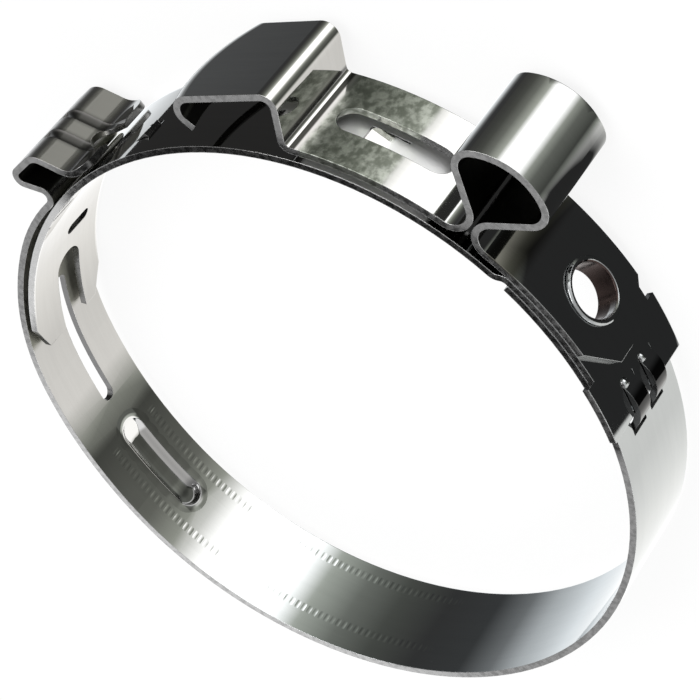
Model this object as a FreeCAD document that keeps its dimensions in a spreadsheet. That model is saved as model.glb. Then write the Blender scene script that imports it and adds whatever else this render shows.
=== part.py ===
import FreeCAD, Part
import math
import os
import Sketcher
from FreeCAD import Placement, Rotation, Vector

# Snap lock hose clamp, closed to its ring but not yet snapped shut.
# Frame: the origin is the centre of the hose bore, Z is the bore's axis, and the loop ear
# that is squeezed to tighten the clamp stands on +Y. Angles go anticlockwise from +X,
# as seen from +Z. Lengths are in millimetres.

NODES = ("ring_band", "bridge_strip", "tension_strip")

doc = FreeCAD.newDocument("SnapLockHoseClamp")


# Sizes

SIZES = (
    # the hose and the spring steel strip
    ("hose_radius", 33.25),
    ("strip_width", 12.0),
    ("strip_thick", 0.7),
    ("lap_gap", 0.05),
    # ring band: where its plain end lies, and how it stands off to pass over the bridge strip
    ("band_end_angle", 80.2),
    ("ease_start_angle", 252.0),
    ("ease_sweep", 50.0),
    ("ease_height", 1.3),
    # ribbed hook at the ring band's other end
    ("lead_in_angle", 189.1),
    ("lead_in_bend", 23.6),
    ("lead_in_turn", 19.8),
    ("neck_bend", 1.0),
    ("neck_turn", 127.8),
    ("neck_run", 1.9),
    ("fold_low_bend", 0.9),
    ("fold_low_turn", 129.0),
    ("fold_height", 2.2),
    ("fold_top_bend", 1.6),
    ("fold_top_turn", 61.0),
    ("ribbed_run", 2.3),
    ("tip_bend", 2.5),
    ("tip_turn", 50.0),
    ("tip_run", 1.4),
    ("tip_face_angle", 130.0),
    ("front_lobe_round", 1.8),
    ("rear_lobe_round", 2.0),
    ("notch_width", 3.4),
    ("notch_depth", 2.9),
    ("notch_offset", 0.3),
    ("groove_radius", 1.0),
    ("groove_depth", 0.22),
    ("groove_spacing", 3.3),
    # guide slot and pressed channel in the ring band, a little behind the middle of its width
    ("track_offset", 0.6),
    ("guide_slot_angle", 219.5),
    ("guide_slot_length", 16.6),
    ("guide_slot_width", 1.8),
    ("channel_angle", 249.5),
    ("channel_length", 12.2),
    ("channel_width", 3.6),
    ("channel_depth", 0.75),
    ("channel_wall", 0.45),
    ("channel_rim_round", 0.3),
    ("channel_crown_round", 0.6),
    # bridge strip: forked tongue, slit, and the step over the ring band's plain end
    ("tongue_angle", 214.2),
    ("tongue_trim_length", 3.2),
    ("tongue_trim_width", 1.6),
    ("fork_depth", 9.3),
    ("fork_width", 4.0),
    ("slit_angle", 192.3),
    ("slit_length", 3.8),
    ("slit_width", 1.4),
    ("slit_offset", 1.9),
    ("step_bend", 1.2),
    ("step_angle", 80.7),
    # wide T end of the bridge strip, and its claws that hook through windows in the ring band
    ("tee_start_angle", 60.3),
    ("tee_end_angle", 49.9),
    ("tee_width", 14.4),
    ("claw_width", 2.2),
    ("claw_spacing", 3.8),
    ("claw_root_angle", 55.7),
    ("claw_root_bend", 2.0),
    ("claw_crest_bend", 3.06),
    ("claw_rise", 28.1),
    ("claw_fall", 63.7),
    ("claw_slit", 0.1),
    ("claw_gap", 0.25),
    ("claw_window_angle", 47.6),
    ("claw_window_length", 2.2),
    # two tabs lanced up out of the bridge strip: one between the hooks, one in the slot
    ("tab_bend", 2.0),
    ("tab_gap", 0.25),
    ("hook_tab_root_angle", 153.3),
    ("hook_tab_turn", 20.0),
    ("hook_tab_run", 0.8),
    ("hook_tab_width", 2.3),
    ("hook_tab_offset", 1.9),
    ("slot_tab_root_angle", 105.4),
    ("slot_tab_turn", 4.5),
    ("slot_tab_run", 3.6),
    ("slot_tab_width", 2.8),
    ("slot_tab_corner", 0.8),
    # tension strip: trimmed end, eyelet and slot
    ("strip_end_angle", 58.9),
    ("end_trim_length", 3.8),
    ("end_flat_width", 4.6),
    ("eyelet_angle", 69.7),
    ("eyelet_bore", 2.75),
    ("eyelet_wall", 0.4),
    ("eyelet_lip_radius", 3.35),
    ("eyelet_lip_height", 0.3),
    ("eyelet_lip_bevel", 0.18),
    ("slot_angle", 106.9),
    ("slot_length", 12.0),
    ("slot_width", 3.4),
    # loop ear
    ("neck_gap", 0.3),
    ("ear_foot_bend", 2.0),
    ("ear_width", 10.1),
    ("ear_height", 10.7),
    ("ear_side_bend", 1.9),
    ("ear_top_bend", 6.3),
    # box hook, whose lip is bowed
    ("box_foot_angle", 119.3),
    ("box_foot_bend", 1.0),
    ("box_wall_turn", 84.0),
    ("box_wall_height", 3.3),
    ("box_top_bend", 1.2),
    ("box_top_turn", 102.5),
    ("box_plate_run", 8.95),
    ("box_bow_radius", 14.0),
    ("box_bow_offset", 2.0),
    ("box_bow_height", 2.8),
    ("box_lip_bend", 1.45),
    ("box_lip_turn", 128.0),
    ("box_lip_run", 1.1),
)

sheet = doc.addObject("Spreadsheet::Sheet", "Sizes")
for row, (alias, number) in enumerate(SIZES, start=1):
    sheet.set(f"A{row}", alias)
    sheet.set(f"B{row}", str(number))
    sheet.setAlias(f"B{row}", alias)
doc.recompute()


def value(expression):
    """Number that an expression of the sheet's sizes gives."""
    return float(sheet.evalExpression(expression))


T = "Sizes.strip_thick"
INNER_LINE = "Sizes.hose_radius + Sizes.strip_thick / 2"
MIDDLE_LINE = "Sizes.hose_radius + Sizes.lap_gap + 3 * Sizes.strip_thick / 2"
OUTER_LINE = "Sizes.hose_radius + 2 * Sizes.lap_gap + 5 * Sizes.strip_thick / 2"
OUTER_FACE = "Sizes.hose_radius + 2 * Sizes.lap_gap + 3 * Sizes.strip_thick"
OUTSIDE = "2 * Sizes.hose_radius"


# Middle line of a bent strip

def polar(radius, angle):
    """Point at a radius and an angle in degrees."""
    turn = math.radians(angle)
    return Vector(radius * math.cos(turn), radius * math.sin(turn), 0)


class Path:
    """Straights and bends laid end to end, each tangent to the one before."""

    def __init__(self, point, heading):
        self.start = self.point = point
        self.start_heading = self.heading = heading
        self.pieces = []

    def straight(self, length):
        """Straight run; its length is an expression."""
        end = self.point + polar(value(length), self.heading)
        self.pieces.append(("line", self.point, end, self.heading))
        self.point = end

    def bend(self, radius, turn):
        """Bend to the left for a positive turn in degrees, else right; radius is an expression."""
        side = 1 if turn > 0 else -1
        reach = value(radius)
        centre = self.point + polar(side * reach, self.heading + 90)
        start = self.heading - side * 90
        self.pieces.append(("arc", centre, radius, side, start, start + turn))
        self.point = centre + polar(reach, start + turn)
        self.heading += turn


def end_names(side):
    """Sketch point numbers at the start and the end of an arc travelled to the left or the right."""
    return (1, 2) if side > 0 else (2, 1)


def add_side(sketch, path, distance):
    """Line beside a path, at a distance to its left, with its bends bound to the sizes."""
    shift = value(distance)
    chain = []
    for piece in path.pieces:
        if piece[0] == "line":
            aside = polar(shift, piece[3] + 90)
            number = sketch.addGeometry(Part.LineSegment(piece[1] + aside, piece[2] + aside), False)
            chain.append((number, 1, 2))
            continue
        _, centre, radius, side, start, end = piece
        low, high = sorted((math.radians(start), math.radians(end)))
        round_line = Part.Circle(centre, Vector(0, 0, 1), value(radius) - side * shift)
        number = sketch.addGeometry(Part.ArcOfCircle(round_line, low, high), False)
        chain.append((number, *end_names(side)))
        sign = "-" if side > 0 else "+"
        held = Sketcher.Constraint("Radius", number, round_line.Radius)
        bind(sketch, held, f"{radius} {sign} ({distance})")
    for (one, _, last), (two, first, _) in zip(chain, chain[1:]):
        sketch.addConstraint(Sketcher.Constraint("Tangent", one, last, two, first))
    return chain


def strip_outline(sketch, path, left=f"{T} / 2", right=f"-{T} / 2"):
    """Closed outline beside a path, between two distances to its left."""
    one = add_side(sketch, path, left)
    two = add_side(sketch, path, right)
    close_end(sketch, one[0][0], one[0][1], two[0][0], two[0][1])
    close_end(sketch, one[-1][0], one[-1][2], two[-1][0], two[-1][2])


def close_end(sketch, left, left_point, right, right_point):
    """Cut end of a strip, square across between its two sides."""
    start = sketch.getPoint(left, left_point)
    end = sketch.getPoint(right, right_point)
    cap = sketch.addGeometry(Part.LineSegment(start, end), False)
    sketch.addConstraint(Sketcher.Constraint("Coincident", cap, 1, left, left_point))
    sketch.addConstraint(Sketcher.Constraint("Coincident", cap, 2, right, right_point))


# Bodies, sketches and features

def new_body(name):
    """Empty body whose label names its file."""
    body = doc.addObject("PartDesign::Body", name)
    body.Label = name
    return body


def origin_plane(body, role):
    """One of the body's own origin planes."""
    return next(feature for feature in body.Origin.OriginFeatures if feature.Role == role)


def profile_sketch(body, name, height="0"):
    """Sketch across the bore's axis, at a height along it."""
    sketch = body.newObject("Sketcher::SketchObject", name)
    sketch.AttachmentSupport = [(origin_plane(body, "XY_Plane"), "")]
    sketch.MapMode = "FlatFace"
    sketch.setExpression(".AttachmentOffset.Base.z", height)
    return sketch


def radial_sketch(body, name, angle, reach="0"):
    """Sketch that faces an angle, at a reach from the bore's axis: its +x is clockwise, its +y along Z."""
    sketch = body.newObject("Sketcher::SketchObject", name)
    sketch.AttachmentSupport = [(origin_plane(body, "XZ_Plane"), "")]
    sketch.MapMode = "FlatFace"
    sketch.AttachmentOffset = Placement(Vector(0, 0, 0), Rotation(Vector(0, 1, 0), 1))
    sketch.setExpression(".AttachmentOffset.Rotation.Angle", f"{angle} - 90")
    sketch.setExpression(".AttachmentOffset.Base.x", f"({reach}) * cos({angle} * 1 deg)")
    sketch.setExpression(".AttachmentOffset.Base.z", f"-({reach}) * sin({angle} * 1 deg)")
    return sketch


def pad(body, sketch, name, length, midplane=True):
    """Pad half to each side of the sketch, or else outward from the bore's axis."""
    feature = body.newObject("PartDesign::Pad", name)
    feature.Profile = sketch
    feature.Midplane = midplane
    feature.Reversed = not midplane
    feature.setExpression("Length", length)
    sketch.Visibility = False
    doc.recompute()
    return feature


def pocket(body, sketch, name, length=OUTSIDE, midplane=False):
    """Cut outward from the bore's axis, or else half to each side of the sketch."""
    before = body.Shape.Volume
    feature = body.newObject("PartDesign::Pocket", name)
    feature.Profile = sketch
    feature.Midplane = midplane
    feature.setExpression("Length", length)
    sketch.Visibility = False
    doc.recompute()
    if not feature.Shape.Volume < before:
        raise RuntimeError(f"{name} cuts nothing")
    return feature


def fillet(body, name, radius, chosen):
    """Round the edges of the body so far that the test picks."""
    return dress(body, "PartDesign::Fillet", name, "Radius", radius, chosen)


def chamfer(body, name, size, chosen):
    """Bevel the edges of the body so far that the test picks."""
    return dress(body, "PartDesign::Chamfer", name, "Size", size, chosen)


def dress(body, kind, name, property_name, size, chosen):
    """Add a fillet or a chamfer to the edges that the test picks."""
    base = body.Tip
    edges = [f"Edge{n}" for n, edge in enumerate(base.Shape.Edges, start=1) if chosen(edge)]
    if not edges:
        raise RuntimeError(f"{name} finds no edge")
    feature = body.newObject(kind, name)
    feature.Base = (base, edges)
    feature.setExpression(property_name, size)
    doc.recompute()
    return feature


def bind(sketch, constraint, expression):
    """Add a constraint whose value follows the sizes."""
    number = sketch.addConstraint(constraint)
    sketch.setExpression(f"Constraints[{number}]", expression)


def pin_point(sketch, number, point, x, y):
    """Hold a point of a sketch at x and y from its origin; both are expressions."""
    bind(sketch, Sketcher.Constraint("DistanceX", -1, 1, number, point, value(x)), x)
    bind(sketch, Sketcher.Constraint("DistanceY", -1, 1, number, point, value(y)), y)


def circle(sketch, radius):
    """Circle about the sketch's origin."""
    number = sketch.addGeometry(Part.Circle(Vector(0, 0, 0), Vector(0, 0, 1), value(radius)), False)
    sketch.addConstraint(Sketcher.Constraint("Coincident", number, 3, -1, 1))
    bind(sketch, Sketcher.Constraint("Radius", number, value(radius)), radius)


def slot(sketch, length, width, x="0", y="0", upright=False):
    """Slot with round ends, centred on x and y, along the sketch's x axis or else its y axis."""
    radius = value(width) / 2
    reach = f"({length} - {width}) / 2"
    middle = Vector(value(x), value(y), 0)
    along = Vector(0, 1, 0) if upright else Vector(1, 0, 0)
    side = Vector(-along.y, along.x, 0) * radius
    far = middle + along * value(reach)
    near = middle - along * value(reach)
    axis = Vector(0, 0, 1)
    turn = math.pi / 2 if upright else 0
    half = math.pi / 2
    first = sketch.addGeometry(Part.LineSegment(far + side, near + side), False)
    start = Part.ArcOfCircle(Part.Circle(near, axis, radius), turn + half, turn + 3 * half)
    near_end = sketch.addGeometry(start, False)
    second = sketch.addGeometry(Part.LineSegment(near - side, far - side), False)
    finish = Part.ArcOfCircle(Part.Circle(far, axis, radius), turn - half, turn + half)
    far_end = sketch.addGeometry(finish, False)
    for one, two in ((first, near_end), (near_end, second), (second, far_end), (far_end, first)):
        sketch.addConstraint(Sketcher.Constraint("Tangent", one, 2, two, 1))
    bind(sketch, Sketcher.Constraint("Radius", near_end, radius), f"{width} / 2")
    if upright:
        pin_point(sketch, near_end, 3, x, f"{y} - {reach}")
        pin_point(sketch, far_end, 3, x, f"{y} + {reach}")
    else:
        pin_point(sketch, near_end, 3, f"{x} - {reach}", y)
        pin_point(sketch, far_end, 3, f"{x} + {reach}", y)


def polygon(sketch, corners):
    """Closed outline through corners whose x and y are expressions."""
    points = [Vector(value(x), value(y), 0) for x, y in corners]
    lines = []
    for start, end in zip(points, points[1:] + points[:1]):
        lines.append(sketch.addGeometry(Part.LineSegment(start, end), False))
    for one, two in zip(lines, lines[1:] + lines[:1]):
        sketch.addConstraint(Sketcher.Constraint("Coincident", one, 2, two, 1))
    for line, (x, y) in zip(lines, corners):
        pin_point(sketch, line, 1, x, y)


def corner_trims(sketch, length, inner, outer, facing=1):
    """Triangles off both corners of a strip's end at x = 0 that faces +x, or else -x for facing -1."""
    back = f"{-facing} * ({length})"
    front = str(facing)
    for sign in ("", "-"):
        beyond = f"{sign}({outer} + 1)"
        corners = [(back, f"{sign}({outer})"), ("0", f"{sign}({inner})"), (front, f"{sign}({inner})")]
        corners += [(front, beyond), (back, beyond)]
        polygon(sketch, corners)


# Ring band

def ease(path, line, height, sweep):
    """Two long bends that lead from one circle to a wider one about the same centre."""
    lead = f"{height} / (2 * (1 - cos({sweep} / 2 * 1 deg)))"
    path.bend(f"({line} + {lead})", -value(sweep) / 2)
    path.bend(f"({line} + {height} - {lead})", -value(sweep) / 2)


def joggle(path, line, height, bend):
    """Short step outward between two circles about the bore's axis, clockwise."""
    small = value(line)
    rise = value(height)
    corner = value(bend)
    wide = small + rise
    share = (2 * corner * rise - rise**2 / 2) / ((small + corner) * (wide - corner))
    swing = math.degrees(math.acos(1 - share))
    first = polar(small + corner, 0)
    second = polar(wide - corner, -swing)
    across = second - first
    lean = 180 - math.degrees(math.atan2(-across.y, across.x))
    path.bend(bend, lean)
    path.bend(bend, -lean - swing)
    return swing


def ring_band_path():
    """From the plain end clockwise round the hose to the top of the ribbed hook's back."""
    start = value("Sizes.band_end_angle")
    path = Path(polar(value(INNER_LINE), start), start - 90)
    path.bend(INNER_LINE, value("Sizes.ease_start_angle") - 360 - start)
    ease(path, INNER_LINE, "Sizes.ease_height", "Sizes.ease_sweep")
    eased = value("Sizes.ease_start_angle - Sizes.ease_sweep")
    path.bend(f"({INNER_LINE} + Sizes.ease_height)", value("Sizes.lead_in_angle") - eased)
    path.bend("Sizes.lead_in_bend", -value("Sizes.lead_in_turn"))
    path.bend("Sizes.neck_bend", value("Sizes.neck_turn"))
    path.straight("Sizes.neck_run")
    path.bend("Sizes.fold_low_bend", -value("Sizes.fold_low_turn"))
    path.straight("Sizes.fold_height")
    return path


def add_plate(path):
    """Continue a path over the ribbed hook's top bend and along its plate to the raised tip."""
    path.bend("Sizes.fold_top_bend", -value("Sizes.fold_top_turn"))
    path.straight("Sizes.ribbed_run")
    path.bend("Sizes.tip_bend", value("Sizes.tip_turn"))
    path.straight("Sizes.tip_run")


def roll_groove(body, name, plate, height):
    """Round-bottomed groove along the outside of the ribbed hook's plate, at a height along Z."""
    reach = f"{T} / 2 + Sizes.groove_radius - Sizes.groove_depth"
    spine = profile_sketch(body, f"{name}Spine", height)
    add_side(spine, plate, reach)
    start = plate.start + polar(value(reach), plate.start_heading + 90)
    section = body.newObject("Sketcher::SketchObject", f"{name}Section")
    section.AttachmentSupport = [(origin_plane(body, "XZ_Plane"), "")]
    section.MapMode = "FlatFace"
    across = Rotation(Vector(0, 1, 0), plate.start_heading - 90)
    section.AttachmentOffset = Placement(Vector(start.x, value(height), -start.y), across)
    circle(section, "Sizes.groove_radius")
    feature = body.newObject("PartDesign::SubtractivePipe", name)
    feature.Profile = section
    feature.Spine = (spine, [f"Edge{n}" for n in range(1, len(spine.Shape.Edges) + 1)])
    section.Visibility = False
    spine.Visibility = False
    doc.recompute()


def trim_tip(body, plate_end):
    """Leave a front and a rear lobe with round ends, and cut the middle one back by a notch."""
    facing = polar(1, value("Sizes.tip_face_angle") - 90)
    tip = f"{plate_end.dot(facing):.4f}"
    notch = radial_sketch(body, "TipNotchSketch", "Sizes.tip_face_angle")
    slot(notch, "2 * Sizes.notch_depth", "Sizes.notch_width", x=tip, y="Sizes.notch_offset")
    pocket(body, notch, "TipNotch")
    lobes = (("Front", "", "Sizes.front_lobe_round"), ("Rear", "-", "Sizes.rear_lobe_round"))
    for name, side, radius in lobes:
        height = value(f"{side}Sizes.strip_width / 2")
        fillet(body, f"{name}LobeEdge", radius, lambda edge: ends_strip(edge, plate_end, height))


def ends_strip(edge, end, height):
    """Whether an edge crosses a strip's thickness at its cut end and at a height along Z."""
    middle = (edge.Vertexes[0].Point + edge.Vertexes[-1].Point) / 2
    near = (Vector(middle.x, middle.y, 0) - end).Length < 0.2 * value(T)
    return near and abs(middle.z - height) < 0.01 and abs(edge.Length - value(T)) < 0.01


def channel_body(name, left, right, grow):
    """Curved block in the outline of the pressed channel: a slot with round ends, grown on all sides."""
    body = new_body(name)
    width = f"(Sizes.channel_width + 2 * {grow})"
    length = f"(Sizes.channel_length + 2 * {grow})"
    sweep = value(f"1.5 * {length} / Sizes.hose_radius * 180 / pi")
    start = value("Sizes.channel_angle") + sweep / 2
    path = Path(polar(value(INNER_LINE), start), start - 90)
    path.bend(INNER_LINE, -sweep)
    profile = profile_sketch(body, f"{name}Profile", "-Sizes.track_offset")
    strip_outline(profile, path, left, right)
    pad(body, profile, f"{name}Block", f"{width} + 2")
    around = radial_sketch(body, f"{name}AroundSketch", "Sizes.channel_angle")
    slot(around, length, width, y="-Sizes.track_offset")
    low = f"-Sizes.track_offset - {width}"
    high = f"-Sizes.track_offset + {width}"
    polygon(around, [(f"-{length}", low), (length, low), (length, high), (f"-{length}", high)])
    pocket(body, around, f"{name}Around")
    return body


def combine(body, tool, name, kind):
    """Join another body to this one, or cut it away."""
    feature = body.newObject("PartDesign::Boolean", name)
    feature.Type = kind
    feature.setObjects([tool])
    doc.recompute()


def on_circle(edge, radius, angle, reach):
    """Whether an edge lies at a radius from the bore's axis, and within a reach of an angle."""
    middle = polar(radius, angle)
    for point in edge.discretize(5):
        flat = Vector(point.x, point.y, 0)
        if abs(flat.Length - radius) > 0.01 or (flat - middle).Length > reach:
            return False
    return True


def press_channel(body):
    """Channel with round ends, pressed outward and rounded along its rim and its floor."""
    crown = channel_body("channel_crown", f"{T} / 2 + Sizes.channel_depth", "0", "Sizes.channel_wall")
    combine(body, crown, "ChannelCrown", "Fuse")
    hollow = channel_body("channel_hollow", f"Sizes.channel_depth - {T} / 2", f"-3 * {T} / 2", "0")
    combine(body, hollow, "ChannelHollow", "Cut")
    angle = value("Sizes.channel_angle")
    reach = value("Sizes.channel_length")
    rounds = (
        ("ChannelRim", "Sizes.hose_radius", "Sizes.channel_rim_round"),
        ("ChannelEdge", f"Sizes.hose_radius + {T} + Sizes.channel_depth", "Sizes.channel_crown_round"),
    )
    for name, line, radius in rounds:
        circle_radius = value(line)
        fillet(body, name, radius, lambda edge: on_channel(edge, circle_radius, angle, reach))


def on_channel(edge, radius, angle, reach):
    """Whether an edge follows the channel's outline at a radius, and not the band's own edge."""
    inside = abs(edge.CenterOfMass.z) < value("Sizes.strip_width / 2") - 0.01
    return inside and on_circle(edge, radius, angle, reach)


def draw_eyelet(body):
    """Collar drawn outward round the bore, through the two strips above and rolled over the outer one."""
    collar = radial_sketch(body, "EyeletCollarSketch", "Sizes.eyelet_angle", INNER_LINE)
    circle(collar, "Sizes.eyelet_bore + Sizes.eyelet_wall")
    face = f"{OUTER_FACE} + Sizes.lap_gap"
    pad(body, collar, "EyeletCollar", f"{face} + Sizes.eyelet_lip_height - ({INNER_LINE})", midplane=False)
    lip = radial_sketch(body, "EyeletLipSketch", "Sizes.eyelet_angle", face)
    circle(lip, "Sizes.eyelet_lip_radius")
    pad(body, lip, "EyeletLip", "Sizes.eyelet_lip_height", midplane=False)
    bore = radial_sketch(body, "EyeletBoreSketch", "Sizes.eyelet_angle")
    circle(bore, "Sizes.eyelet_bore")
    pocket(body, bore, "EyeletBore")
    angle = value("Sizes.eyelet_angle")
    top = value(f"{face} + Sizes.eyelet_lip_height")
    chamfer(body, "EyeletRoll", "Sizes.eyelet_lip_bevel", lambda edge: on_plane(edge, top, angle))


def on_plane(edge, distance, angle):
    """Whether an edge lies in the plane that faces an angle, at a distance from the bore's axis."""
    facing = polar(1, angle)
    return all(abs(point.dot(facing) - distance) < 0.001 for point in edge.discretize(5))


def make_ring_band():
    """Band round the hose, folded outward into the ribbed hook at its free end."""
    body = new_body("ring_band")
    path = ring_band_path()
    plate = Path(path.point, path.heading)
    add_plate(path)
    add_plate(plate)
    profile = profile_sketch(body, "BandProfile")
    strip_outline(profile, path)
    pad(body, profile, "Band", "Sizes.strip_width")

    for name, side in (("FrontGroove", "+"), ("RearGroove", "-")):
        roll_groove(body, name, plate, f"Sizes.notch_offset {side} Sizes.groove_spacing / 2")
    trim_tip(body, path.point)

    guide = radial_sketch(body, "GuideSlotSketch", "Sizes.guide_slot_angle")
    slot(guide, "Sizes.guide_slot_length", "Sizes.guide_slot_width", y="-Sizes.track_offset")
    pocket(body, guide, "GuideSlot")
    press_channel(body)
    draw_eyelet(body)

    windows = radial_sketch(body, "ClawWindowSketch", "Sizes.claw_window_angle")
    for side in ("", "-"):
        claw_slot(windows, f"{side}Sizes.claw_spacing / 2")
    pocket(body, windows, "ClawWindows")
    return body


def claw_slot(sketch, height):
    """Square window for one claw."""
    half_length = "Sizes.claw_window_length / 2"
    half_width = "(Sizes.claw_width / 2 + Sizes.claw_gap)"
    low = f"{height} - {half_width}"
    high = f"{height} + {half_width}"
    corners = [(f"-{half_length}", low), (half_length, low), (half_length, high), (f"-{half_length}", high)]
    polygon(sketch, corners)


# Bridge strip

def bridge_strip_path():
    """From the forked tongue clockwise over the top, out over the ring band and on to the T end."""
    start = value("Sizes.tongue_angle")
    path = Path(polar(value(INNER_LINE), start), start - 90)
    trial = Path(Vector(0, 0, 0), 0)
    swing = joggle(trial, INNER_LINE, "Sizes.strip_thick + Sizes.lap_gap", "Sizes.step_bend")
    path.bend(INNER_LINE, value("Sizes.step_angle") + swing - start)
    joggle(path, INNER_LINE, "Sizes.strip_thick + Sizes.lap_gap", "Sizes.step_bend")
    path.bend(MIDDLE_LINE, value("Sizes.tee_end_angle - Sizes.step_angle"))
    return path


def tee_path():
    """Short stretch of the same strip that is wider than the rest."""
    start = value("Sizes.tee_start_angle")
    path = Path(polar(value(MIDDLE_LINE), start), start - 90)
    path.bend(MIDDLE_LINE, value("Sizes.tee_end_angle") - start)
    return path


def claw_path():
    """Out of the T end, over a crest and down into the ring band's window."""
    start = value("Sizes.claw_root_angle")
    path = Path(polar(value(MIDDLE_LINE), start), start - 90)
    path.bend("Sizes.claw_root_bend", value("Sizes.claw_rise"))
    path.bend("Sizes.claw_crest_bend", -value("Sizes.claw_rise + Sizes.claw_fall"))
    return path


def lance_tab(body, name, alias, height, side):
    """Cut a tab free on three sides and bend it up; side is 1 if its free end lies anticlockwise."""
    root, turn, run, width = (f"Sizes.{alias}_{kind}" for kind in ("root_angle", "turn", "run", "width"))
    window = radial_sketch(body, f"{name}WindowSketch", root)
    far = f"{-side} * ({run} + Sizes.tab_gap + Sizes.tab_bend * {turn} / 180 * pi)"
    low = f"{height} - {width} / 2 - Sizes.tab_gap"
    high = f"{height} + {width} / 2 + Sizes.tab_gap"
    polygon(window, [("0", low), (far, low), (far, high), ("0", high)])
    pocket(body, window, f"{name}Window")
    start = value(root)
    path = Path(polar(value(INNER_LINE), start), start + side * 90)
    path.bend("Sizes.tab_bend", -side * value(turn))
    path.straight(run)
    profile = profile_sketch(body, f"{name}Sketch", height)
    strip_outline(profile, path)
    pad(body, profile, name, width)
    return path.point


def make_bridge_strip():
    """Strip under the closure that carries the hose's pressure across the gap in the ring band."""
    body = new_body("bridge_strip")
    profile = profile_sketch(body, "BridgeProfile")
    strip_outline(profile, bridge_strip_path())
    pad(body, profile, "Bridge", "Sizes.strip_width")
    tee = profile_sketch(body, "TeeProfile")
    strip_outline(tee, tee_path())
    pad(body, tee, "Tee", "Sizes.tee_width")

    tongue = radial_sketch(body, "TongueTrimSketch", "Sizes.tongue_angle")
    half = "Sizes.strip_width / 2"
    corner_trims(tongue, "Sizes.tongue_trim_length", f"({half} - Sizes.tongue_trim_width)", half, facing=-1)
    pocket(body, tongue, "TongueTrim")
    fork = radial_sketch(body, "ForkSketch", "Sizes.tongue_angle")
    slot(fork, "2 * Sizes.fork_depth", "Sizes.fork_width", y="-Sizes.track_offset")
    pocket(body, fork, "Fork")
    slit = radial_sketch(body, "SlitSketch", "Sizes.slit_angle")
    slot(slit, "Sizes.slit_length", "Sizes.slit_width", y="-Sizes.slit_offset", upright=True)
    pocket(body, slit, "Slit")

    bore = radial_sketch(body, "EyeletHoleSketch", "Sizes.eyelet_angle")
    circle(bore, "Sizes.eyelet_bore + Sizes.eyelet_wall + Sizes.lap_gap")
    pocket(body, bore, "EyeletHole")

    lance_tab(body, "HookTab", "hook_tab", "Sizes.hook_tab_offset", -1)
    end = lance_tab(body, "SlotTab", "slot_tab", "0", 1)
    for name, side in (("Front", ""), ("Rear", "-")):
        height = value(f"{side}Sizes.slot_tab_width / 2")
        corner = f"{name}SlotTabCorner"
        fillet(body, corner, "Sizes.slot_tab_corner", lambda edge: ends_strip(edge, end, height))

    notches = radial_sketch(body, "ClawNotchSketch", "Sizes.tee_end_angle")
    for side in ("", "-"):
        claw_notch(notches, f"{side}Sizes.claw_spacing / 2")
    pocket(body, notches, "ClawNotches")
    for name, side in (("FrontClaw", ""), ("RearClaw", "-")):
        claw = profile_sketch(body, f"{name}Sketch", f"{side}Sizes.claw_spacing / 2")
        strip_outline(claw, claw_path())
        pad(body, claw, name, "Sizes.claw_width")
    return body


def claw_notch(sketch, height):
    """Opening in the T end from which one claw is lanced."""
    run = f"({MIDDLE_LINE}) * sin((Sizes.claw_root_angle - Sizes.tee_end_angle) * 1 deg)"
    half_width = "(Sizes.claw_width / 2 + Sizes.claw_slit)"
    low = f"{height} - {half_width}"
    high = f"{height} + {half_width}"
    polygon(sketch, [(f"-{run}", low), ("2", low), ("2", high), (f"-{run}", high)])


# Tension strip

def ear_half(foot_line):
    """Angles of the loop ear's right half, from its foot on the strip to its crown."""
    half_gap = value("(Sizes.neck_gap + Sizes.strip_thick) / 2")
    foot_bend = value("Sizes.ear_foot_bend")
    side_bend = value("Sizes.ear_side_bend")
    top_bend = value("Sizes.ear_top_bend")
    half_width = value("(Sizes.ear_width - Sizes.strip_thick) / 2")
    crown = value(f"{foot_line} + Sizes.ear_height")
    foot_x = half_gap + foot_bend
    foot = Vector(foot_x, math.sqrt((value(foot_line) + foot_bend) ** 2 - foot_x**2), 0)
    side_x = half_width - side_bend
    top = Vector(0, crown - top_bend, 0)
    side = Vector(side_x, top.y + math.sqrt((top_bend - side_bend) ** 2 - side_x**2), 0)
    span = side - foot
    flank = math.degrees(math.atan2(span.y, span.x) - math.asin((foot_bend + side_bend) / span.Length))
    run = math.sqrt(span.Length**2 - (foot_bend + side_bend) ** 2)
    foot_angle = math.degrees(math.atan2(foot.y, foot.x))
    shoulder = math.degrees(math.atan2(side.y - top.y, side.x - top.x))
    return foot_angle, flank, run, shoulder


def tension_strip_path():
    """From the trimmed end anticlockwise through the loop ear to the box hook's lip."""
    start = value("Sizes.strip_end_angle")
    foot_angle, flank, run, shoulder = ear_half(OUTER_LINE)
    foot_turn = foot_angle + 90 - flank
    side_turn = shoulder + 90 - flank
    path = Path(polar(value(OUTER_LINE), start), start + 90)
    path.bend(OUTER_LINE, foot_angle - start)
    path.bend("Sizes.ear_foot_bend", -foot_turn)
    path.straight(str(run))
    path.bend("Sizes.ear_side_bend", side_turn)
    path.bend("Sizes.ear_top_bend", 2 * (90 - shoulder))
    path.bend("Sizes.ear_side_bend", side_turn)
    path.straight(str(run))
    path.bend("Sizes.ear_foot_bend", -foot_turn)
    path.bend(OUTER_LINE, value("Sizes.box_foot_angle") - (180 - foot_angle))
    path.bend("Sizes.box_foot_bend", -value("Sizes.box_wall_turn"))
    path.straight("Sizes.box_wall_height")
    path.bend("Sizes.box_top_bend", value("Sizes.box_top_turn"))
    path.straight("Sizes.box_plate_run - Sizes.box_bow_height")
    return path


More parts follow.
